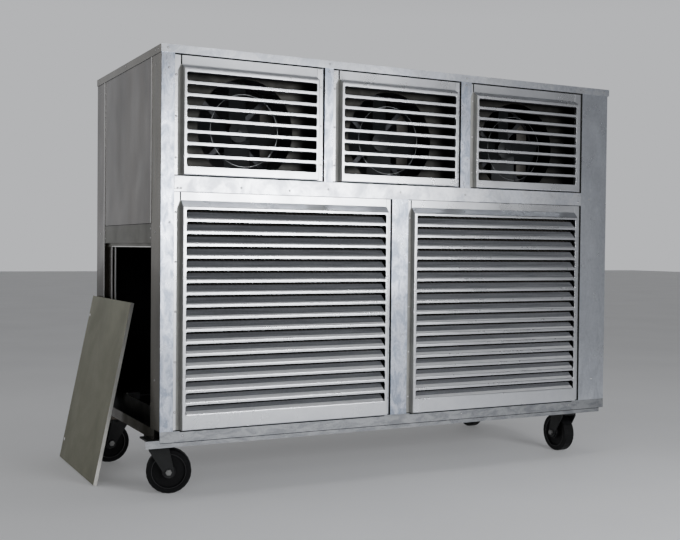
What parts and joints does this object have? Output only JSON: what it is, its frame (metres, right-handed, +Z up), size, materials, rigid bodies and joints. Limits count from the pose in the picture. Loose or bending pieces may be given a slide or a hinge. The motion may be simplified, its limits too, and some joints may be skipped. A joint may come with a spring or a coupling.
{
  "type": "evaporative cooler",
  "caption": "Wheeled evaporative cooler: sheet-metal cabinet with louvred fan outlets over louvred air intakes, swivel casters and a loose side access panel.",
  "frame": {"origin": "on the floor, under the middle of the whole object with its leaning access panel", "axes": "+X to the cooler's right seen from its louvred front, along its length; +Y from the front to the rear; +Z up"},
  "size_m": [2.029, 0.869, 1.49],
  "materials": {
    "galvanised": "satin mill-finish sheet with faint mottling",
    "bright": "bright satin sheet",
    "side": "semi-mirror sheet",
    "steel": "dark satin paint",
    "rubber": "satin black",
    "zinc": "zinc plated",
    "pad": "matte fibrous",
    "plastic": "matte"
  },
  "bodies": {
    "cabinet": {"post_front_left": "galvanised", "post_front_right": "galvanised", "upper_mullion_left": "galvanised", "upper_mullion_right": "galvanised", "lower_mullion": "galvanised", "base_rail_front": "galvanised", "caster_beam_front": "galvanised", "fan_bulkhead": "galvanised", "sump_pan": "galvanised", "mid_rail_front": "bright", "roof_cap": "bright", "fan_louvre_left": "bright", "fan_louvre_centre": "bright", "fan_louvre_right": "bright", "intake_louvre_left": "bright", "intake_louvre_right": "bright", "post_rear_left": "side", "post_rear_right": "side", "rear_mullion": "side", "base_rail_rear": "side", "base_rail_left": "side", "base_rail_right": "side", "caster_beam_rear": "side", "side_panel_left_upper": "side", "side_rail_left": "side", "side_panel_right": "side", "rear_panel_left": "side", "rear_panel_right": "side", "fan_motor_left": "steel", "fan_guard_left": "zinc", "fan_motor_centre": "steel", "fan_guard_centre": "zinc", "fan_motor_right": "steel", "fan_guard_right": "zinc", "caster_plate_front_left": "steel", "caster_plate_rear_left": "steel", "caster_plate_front_right": "steel", "caster_plate_rear_right": "steel", "cooling_pad_left": "pad", "cooling_pad_right": "pad", "spray_header": "plastic", "pump": "steel", "float_valve": "zinc"},
    "access_panel": {"access_panel": "side"},
    "float_arm": {"float_arm": "plastic"},
    "fan_rotor_left": {"fan_rotor_left": "steel"},
    "fan_rotor_centre": {"fan_rotor_centre": "steel"},
    "fan_rotor_right": {"fan_rotor_right": "steel"},
    "caster_fork_front_left": {"caster_fork_front_left": "steel", "caster_axle_front_left": "zinc"},
    "caster_wheel_front_left": {"caster_wheel_front_left": "rubber"},
    "caster_fork_rear_left": {"caster_fork_rear_left": "steel", "caster_axle_rear_left": "zinc"},
    "caster_wheel_rear_left": {"caster_wheel_rear_left": "rubber"},
    "caster_fork_front_right": {"caster_fork_front_right": "steel", "caster_axle_front_right": "zinc"},
    "caster_wheel_front_right": {"caster_wheel_front_right": "rubber"},
    "caster_fork_rear_right": {"caster_fork_rear_right": "steel", "caster_axle_rear_right": "zinc"},
    "caster_wheel_rear_right": {"caster_wheel_rear_right": "rubber"}
  },
  "joints": [
    {"name": "caster_swivel_front_left", "type": "hinge", "parent": "cabinet", "child": "caster_fork_front_left", "pos_m": [-0.8415, -0.2925, 0.16], "axis": [0, 0, 1], "continuous": true},
    {"name": "caster_roll_front_left", "type": "hinge", "parent": "caster_fork_front_left", "child": "caster_wheel_front_left", "pos_m": [-0.80623, -0.30369, 0.076], "axis": [0.3024, 0.9532, 0], "continuous": true},
    {"name": "caster_swivel_rear_left", "type": "hinge", "parent": "cabinet", "child": "caster_fork_rear_left", "pos_m": [-0.8245, 0.2775, 0.16], "axis": [0, 0, 1], "continuous": true},
    {"name": "caster_roll_rear_left", "type": "hinge", "parent": "caster_fork_rear_left", "child": "caster_wheel_rear_left", "pos_m": [-0.86145, 0.27556, 0.076], "axis": [0.0523, -0.9986, 0], "continuous": true},
    {"name": "caster_swivel_front_right", "type": "hinge", "parent": "cabinet", "child": "caster_fork_front_right", "pos_m": [0.8855, -0.3175, 0.16], "axis": [0, 0, 1], "continuous": true},
    {"name": "caster_roll_front_right", "type": "hinge", "parent": "caster_fork_front_right", "child": "caster_wheel_front_right", "pos_m": [0.88679, -0.28052, 0.076], "axis": [-0.9994, 0.0349, 0], "continuous": true},
    {"name": "caster_swivel_rear_right", "type": "hinge", "parent": "cabinet", "child": "caster_fork_rear_right", "pos_m": [0.8855, 0.3205, 0.16], "axis": [0, 0, 1], "continuous": true},
    {"name": "caster_roll_rear_right", "type": "hinge", "parent": "caster_fork_rear_right", "child": "caster_wheel_rear_right", "pos_m": [0.8855, 0.3575, 0.076], "axis": [-1, 0, 0], "continuous": true},
    {"name": "fan_spin_left", "type": "hinge", "parent": "cabinet", "child": "fan_rotor_left", "pos_m": [-0.5505, -0.2585, 1.235], "axis": [0, 1, 0], "continuous": true},
    {"name": "fan_spin_centre", "type": "hinge", "parent": "cabinet", "child": "fan_rotor_centre", "pos_m": [0.0235, -0.2585, 1.235], "axis": [0, 1, 0], "continuous": true},
    {"name": "fan_spin_right", "type": "hinge", "parent": "cabinet", "child": "fan_rotor_right", "pos_m": [0.5995, -0.2585, 1.235], "axis": [0, 1, 0], "continuous": true},
    {"name": "float_arm_pivot", "type": "hinge", "parent": "cabinet", "child": "float_arm", "pos_m": [-0.7875, 0.1475, 0.268], "axis": [0, 1, 0], "range_deg": [-25, 0]},
    {"name": "access_panel_tip", "type": "hinge", "parent": "cabinet", "child": "access_panel", "pos_m": [-1.0145, 0.162, 0.00271], "axis": [0, -1, 0], "range_deg": [0, 101]}
  ]
}
